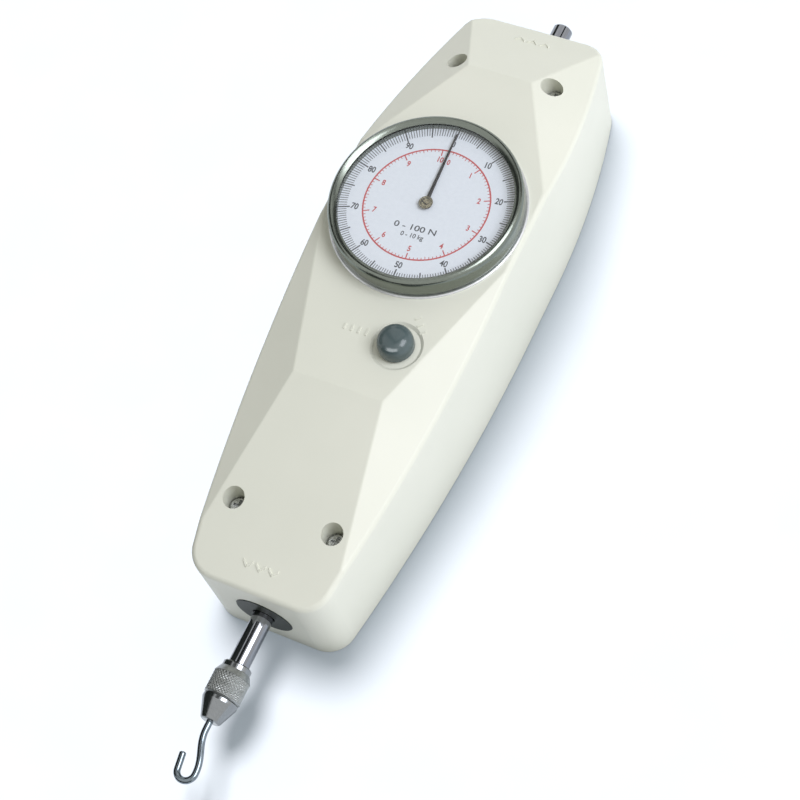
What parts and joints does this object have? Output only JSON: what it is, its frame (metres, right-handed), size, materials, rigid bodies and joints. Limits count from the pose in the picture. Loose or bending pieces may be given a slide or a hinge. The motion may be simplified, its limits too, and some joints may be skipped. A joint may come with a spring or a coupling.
{
  "type": "force gauge",
  "caption": "Mechanical push-pull force gauge with faceted cream housing, round dial with turning bezel, peak-hold knob and sliding shaft with a swivel hook.",
  "frame": {"origin": "middle of the flat back of the housing", "axes": "+Y along the shaft from the pull end to the push end, +Z out of the dial face, +X to the right of a reader who has the push end up"},
  "size_m": [0.0588, 0.2531, 0.0492],
  "materials": {
    "painted_metal_cream": "satin cream enamel",
    "zinc_steel": "zinc plated",
    "black_plate": "dull black",
    "bare_aluminium": "bare",
    "bronze": "sintered bronze",
    "chrome_steel": "polished chrome",
    "dark_steel": "black oxide",
    "spring_steel": "bare spring steel",
    "bare_steel": "turned",
    "brass": "machined",
    "polished_steel": "polished",
    "dial_white": "printed",
    "clear_window": "clear",
    "pointer_black": "black enamel",
    "knob_grey": "smooth slate grey",
    "black_rubber": "plain",
    "nickel_knurled": "knurled nickel",
    "hook_steel": "bright nickel"
  },
  "bodies": {
    "housing": {"front_housing": "painted_metal_cream", "rear_cover": "painted_metal_cream", "housing_screws": "zinc_steel", "pull_end_plate": "black_plate", "push_end_plate": "black_plate", "lower_bearing_block": "bare_aluminium", "upper_bearing_block": "bare_aluminium", "shaft_bushes": "bronze", "block_screws": "zinc_steel", "main_spring": "spring_steel", "travel_stop": "bare_steel", "hairspring": "brass", "movement_base": "brass", "movement_bridge": "brass", "movement_pillars": "brass", "movement_screws": "zinc_steel", "dial_seat": "bare_aluminium", "seat_ring_nut": "bare_aluminium", "lever_pivot": "bare_steel"},
    "shaft": {"measuring_shaft": "chrome_steel", "push_stud": "dark_steel", "spring_collar": "bare_steel", "rest_collar": "bare_steel", "rack_carrier": "bare_aluminium", "grub_screws": "dark_steel", "rack": "brass", "shaft_collar": "chrome_steel", "knurled_coupling": "nickel_knurled"},
    "hook_swivel": {"swivel_nose": "chrome_steel", "hook": "hook_steel"},
    "rack_gear": {"rack_pinion": "brass", "drive_wheel": "brass"},
    "pointer_arbor": {"centre_pinion": "bare_steel", "pointer": "pointer_black", "pointer_cap": "brass"},
    "dial_bezel": {"bezel": "polished_steel", "bezel_snap_ring": "spring_steel", "dial_plate": "dial_white", "dial_spacer": "polished_steel", "lens": "clear_window"},
    "knob": {"peak_knob": "knob_grey", "knob_clip": "spring_steel", "peak_cam": "bare_steel"},
    "lever": {"peak_lever": "bare_steel", "peak_brake_pad": "black_rubber"}
  },
  "joints": [
    {"name": "shaft_slide", "type": "slide", "parent": "housing", "child": "shaft", "axis": [0, -1, 0], "range_m": [0, 0.01005], "stiffness_N_per_m": 9950, "deforming": ["main_spring"]},
    {"name": "hook_turn", "type": "hinge", "parent": "shaft", "child": "hook_swivel", "pos_m": [0, -0.1208, 0.0145], "axis": [0, 1, 0], "continuous": true},
    {"name": "rack_pinion_turn", "type": "hinge", "parent": "housing", "child": "rack_gear", "pos_m": [0.013, 0.01372, 0.0265], "axis": [0, 0, 1], "range_deg": [-1, 97]},
    {"name": "pointer_turn", "type": "hinge", "parent": "housing", "child": "pointer_arbor", "pos_m": [0, 0.0216, 0.046], "axis": [0, 0, 1], "range_deg": [-361, 1], "deforming": ["hairspring"]},
    {"name": "bezel_turn", "type": "hinge", "parent": "housing", "child": "dial_bezel", "pos_m": [0, 0.0216, 0.0454], "axis": [0, 0, 1], "continuous": true},
    {"name": "knob_turn", "type": "hinge", "parent": "housing", "child": "knob", "pos_m": [0.01, -0.02, 0.044], "axis": [0, 0, 1], "range_deg": [0, 90]},
    {"name": "lever_swing", "type": "hinge", "parent": "housing", "child": "lever", "pos_m": [-0.002, -0.009, 0.03], "axis": [0, 0, 1], "range_deg": [-0.5, 5.5]}
  ],
  "couplings": [
    {"joint": "rack_pinion_turn", "follows": "shaft_slide", "rad_per_m": 166.67},
    {"joint": "pointer_turn", "follows": "shaft_slide", "rad_per_m": -625},
    {"joint": "lever_swing", "follows": "knob_turn", "ratio": 0.055556}
  ]
}
